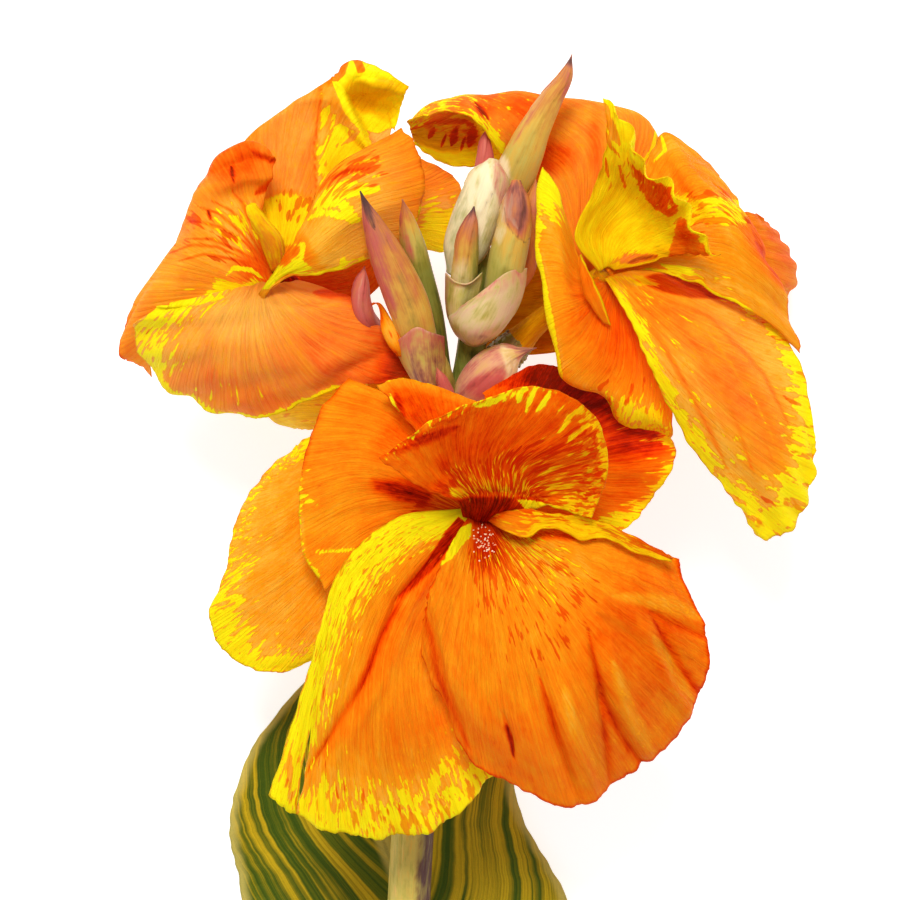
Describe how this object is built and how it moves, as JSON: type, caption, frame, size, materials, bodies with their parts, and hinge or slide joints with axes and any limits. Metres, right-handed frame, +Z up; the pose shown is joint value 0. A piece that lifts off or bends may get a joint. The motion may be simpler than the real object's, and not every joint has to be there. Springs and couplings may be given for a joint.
{
  "type": "canna lily cutting",
  "caption": "Cut flowering stem of a canna lily lying face up: ruffled orange blooms edged in yellow round a spike of buds, with one broad striped leaf sheathing the stem.",
  "frame": {"origin": "the flat spot under the middle of the leaf, on which the cutting rests, below the stem", "axes": "+Z up, away from the surface it lies on and the way the blooms face; +Y along the stem, from its cut end to the buds; +X to the right of the stem seen from above"},
  "size_m": [0.1766, 0.3989, 0.0966],
  "materials": {
    "petal": "soft satin",
    "tube": "soft satin",
    "bud": "waxy satin",
    "pink_bud": "waxy satin",
    "bract": "waxy satin",
    "stem": "waxy satin",
    "leaf": "waxy satin"
  },
  "bodies": {
    "root": {"stem": "stem", "front_bloom_tube": "tube", "left_bloom_tube": "tube", "right_bloom_tube": "tube", "top_bud": "bud", "front_bud": "bud", "right_bud": "pink_bud", "left_long_bud": "bud", "left_rear_bud": "bud", "lower_right_bud": "pink_bud", "pink_sepal": "pink_bud", "rear_pink_tip": "pink_bud", "rear_orange_tip": "bud", "small_red_tip": "pink_bud", "closed_bract": "bract", "scoop_bract": "bract", "left_scoop_bract": "bract", "left_sheath_bract": "bract", "front_bloom_hood": "petal", "front_bloom_stamen": "petal", "front_bloom_lip": "petal", "front_bloom_lower_left_petal": "petal", "front_bloom_upper_left_petal": "petal", "front_bloom_top_petal": "petal", "front_bloom_right_petal": "petal", "front_bloom_far_left_petal": "petal", "left_bloom_style": "petal", "left_bloom_right_petal": "petal", "left_bloom_left_petal": "petal", "left_bloom_lower_petal": "petal", "left_bloom_top_petal": "petal", "left_bloom_back_petal": "petal", "left_bloom_under_petal": "petal", "left_bloom_spent_petal": "petal", "right_bloom_stamen": "petal", "right_bloom_cup_petal": "petal", "right_bloom_lower_right_petal": "petal", "right_bloom_lower_middle_petal": "petal", "right_bloom_right_petal": "petal", "right_bloom_top_petal": "petal", "right_bloom_back_petal": "petal", "right_bloom_far_right_petal": "petal", "leaf": "leaf"}
  },
  "joints": []
}
